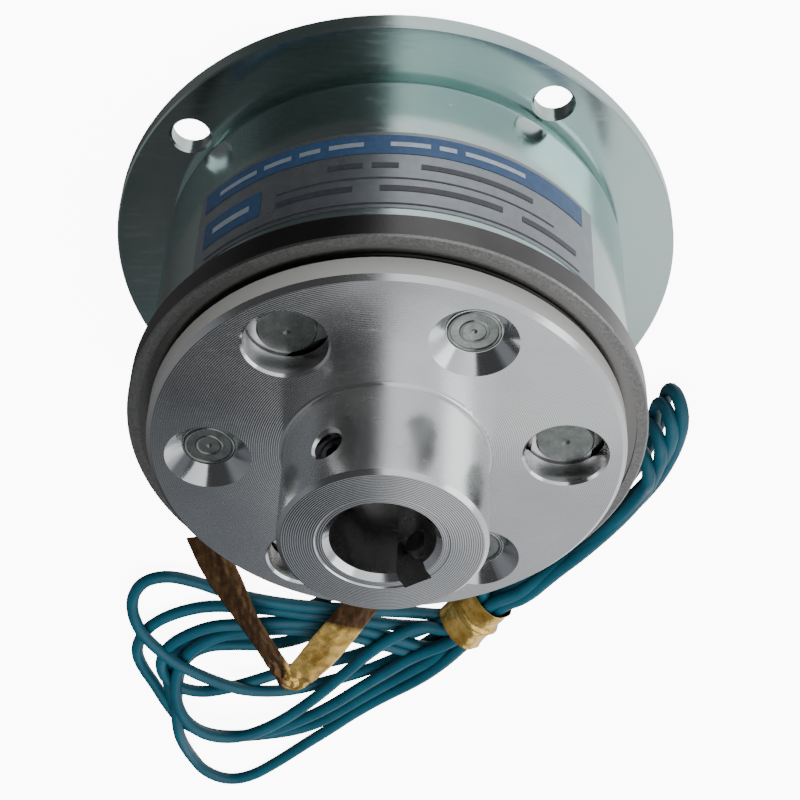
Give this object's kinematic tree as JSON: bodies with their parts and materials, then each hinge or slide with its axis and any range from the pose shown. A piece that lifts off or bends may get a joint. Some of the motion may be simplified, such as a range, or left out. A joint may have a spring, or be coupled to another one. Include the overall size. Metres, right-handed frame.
{
  "type": "electromagnetic clutch",
  "caption": "Flange-mounted electromagnetic clutch with a fixed coil drum, a slotted rotor, a spring-held armature ring and a keyed hub, with two coil leads in a tied hank.",
  "frame": {"origin": "centre of the flange's mounting face", "axes": "+Z along the shaft axis, from the flange up to the hub's end; label towards -Y, leads towards +Y"},
  "size_m": [0.1139, 0.2225, 0.0717],
  "materials": {
    "zinc": "bright zinc plate",
    "label_foil": "printed foil",
    "bobbin_plastic": "moulded",
    "copper_winding": "enamelled copper wire",
    "winding_tape": "glossy tape",
    "resin": "cast epoxy",
    "splice_sleeve": "shrink sleeve",
    "black_rubber": "matt",
    "wire_jacket": "satin insulation",
    "tinned_copper": "tinned strands",
    "gold_foil": "creased foil",
    "rotor_steel": "turned",
    "lining": "pressed friction material",
    "armature_steel": "dark, worn bright at the rim",
    "spring_steel": "blued strip",
    "rivet_zinc": "zinc plate, spun end",
    "turned_metal": "fine turned rings",
    "black_oxide": "black oxide"
  },
  "bodies": {
    "stator": {"mounting_flange": "zinc", "field_core": "zinc", "rating_label": "label_foil", "coil_bobbin": "bobbin_plastic", "coil_winding": "copper_winding", "coil_tape": "winding_tape", "potting_resin": "resin", "lead_splices": "splice_sleeve", "lead_grommet": "black_rubber", "lead_a": "wire_jacket", "lead_b": "wire_jacket", "lead_hank": "wire_jacket", "lead_tips": "tinned_copper", "tie_wrap": "gold_foil", "tie_ribbon": "gold_foil"},
    "rotor": {"rotor": "rotor_steel", "friction_lining": "lining"},
    "hub": {"hub": "turned_metal", "hub_rivets": "rivet_zinc", "set_screws": "black_oxide"},
    "armature": {"armature_plate": "armature_steel", "armature_rivets": "rivet_zinc", "plate_spring": "spring_steel"}
  },
  "joints": [
    {"name": "rotor_spin", "type": "hinge", "parent": "stator", "child": "rotor", "pos_m": [0, 0, 0.02], "axis": [0, 0, 1], "continuous": true},
    {"name": "hub_spin", "type": "hinge", "parent": "stator", "child": "hub", "pos_m": [0, 0, 0.058], "axis": [0, 0, 1], "continuous": true},
    {"name": "armature_pull", "type": "slide", "parent": "hub", "child": "armature", "axis": [0, 0, -1], "range_m": [0, 0.0003], "stiffness_N_per_m": 20000, "springref_m": -0.0005, "deforming": ["plate_spring"]}
  ]
}
